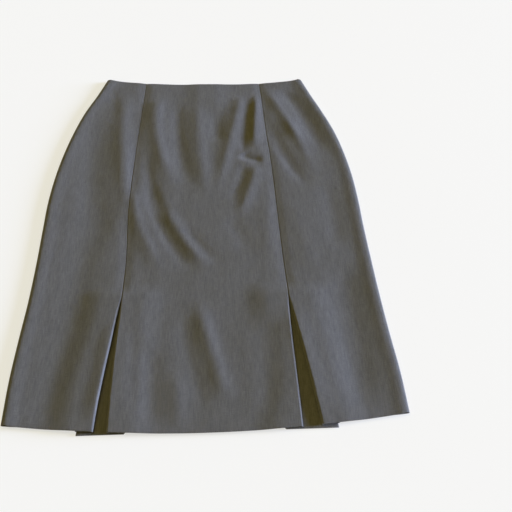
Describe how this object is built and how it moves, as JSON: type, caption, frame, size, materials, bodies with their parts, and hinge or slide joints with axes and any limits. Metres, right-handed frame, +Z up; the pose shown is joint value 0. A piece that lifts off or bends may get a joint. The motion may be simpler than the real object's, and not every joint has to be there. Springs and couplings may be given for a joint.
{
  "type": "pleated midi skirt",
  "caption": "Straight midi skirt laid flat, front up: panelled front with an inverted kick pleat in each front seam, plain back and a concealed centre-back zip.",
  "frame": {"origin": "middle of the laid skirt's box, on the surface it rests on", "axes": "+Y from the hem to the waist, +X towards the wearer's left side, +Z up out of the front"},
  "size_m": [0.5518, 0.6612, 0.008],
  "materials": {
    "worsted": "fine mid-grey melange worsted twill, soft sheen along the folds, faint darker and lighter yarns lengthwise",
    "zip_tape": "dull grey woven tape",
    "zip_coil": "grey nylon coil",
    "zip_metal": "grey enamelled zinc, satin"
  },
  "bodies": {
    "skirt": {"centre_front": "worsted", "side_front_right": "worsted", "side_front_left": "worsted", "pleat_underlay_right": "worsted", "pleat_underlay_left": "worsted", "back_right": "worsted", "back_left": "worsted", "zip_tape_right": "zip_tape", "zip_tape_left": "zip_tape", "zip_chain": "zip_coil", "zip_slider": "zip_metal"},
    "pull_tab": {"zip_pull_tab": "zip_metal"}
  },
  "joints": [
    {"name": "pull_tab_hinge", "type": "hinge", "parent": "skirt", "child": "pull_tab", "pos_m": [0, 0.3005, 0.0012], "axis": [1, 0, 0], "range_deg": [0, 170]}
  ]
}
